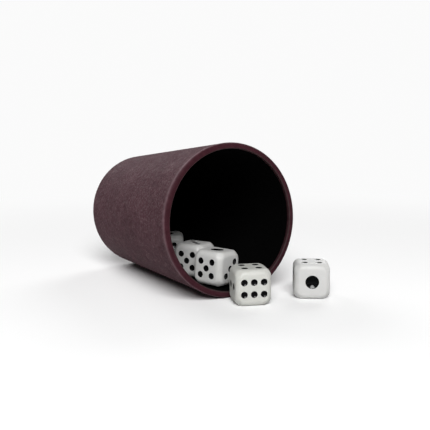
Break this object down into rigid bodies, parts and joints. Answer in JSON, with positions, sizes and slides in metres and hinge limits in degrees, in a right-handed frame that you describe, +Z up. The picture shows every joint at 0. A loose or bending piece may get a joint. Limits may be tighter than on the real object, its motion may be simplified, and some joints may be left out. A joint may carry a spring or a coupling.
{
  "type": "dice cup",
  "caption": "Tapered, felt-lined dice cup lying on its side, with pipped dice spilling out of its mouth and one die standing beside them.",
  "frame": {"origin": "middle of the box around cup and dice, on the table that they lie on", "axes": "+Z up, +X along the underside of the lying cup from its base to its mouth"},
  "size_m": [0.1236, 0.0754, 0.0698],
  "materials": {
    "shell": "burgundy with a fine leather-like grain, smooth at the rim",
    "felt": "black felt",
    "die_white": "polished white",
    "die_cream": "polished, slightly warm white",
    "lacquer": "glossy black lacquer in hollow pips"
  },
  "bodies": {
    "cup": {"cup_shell": "shell", "felt_sleeve": "felt", "felt_disc": "felt"},
    "die_1": {"die_1": "die_white", "die_1_pips": "lacquer"},
    "die_2": {"die_2": "die_white", "die_2_pips": "lacquer"},
    "die_3": {"die_3": "die_white", "die_3_pips": "lacquer"},
    "die_4": {"die_4": "die_cream", "die_4_pips": "lacquer"},
    "die_5": {"die_5": "die_white", "die_5_pips": "lacquer"}
  },
  "joints": [
    {"name": "die_1_out", "type": "slide", "parent": "cup", "child": "die_1", "axis": [1, 0, 0], "range_m": [0, 0.065]},
    {"name": "die_2_out", "type": "slide", "parent": "die_1", "child": "die_2", "axis": [1, 0, 0], "range_m": [0, 0.045]},
    {"name": "die_3_out", "type": "slide", "parent": "die_2", "child": "die_3", "axis": [1, 0, 0], "range_m": [0, 0.03]},
    {"name": "die_4_out", "type": "slide", "parent": "die_3", "child": "die_4", "axis": [1, 0, 0], "range_m": [0, 0.04]},
    {"name": "die_5_lift", "type": "slide", "parent": "cup", "child": "die_5", "axis": [0, 0, 1], "range_m": [0, 0.08]}
  ]
}
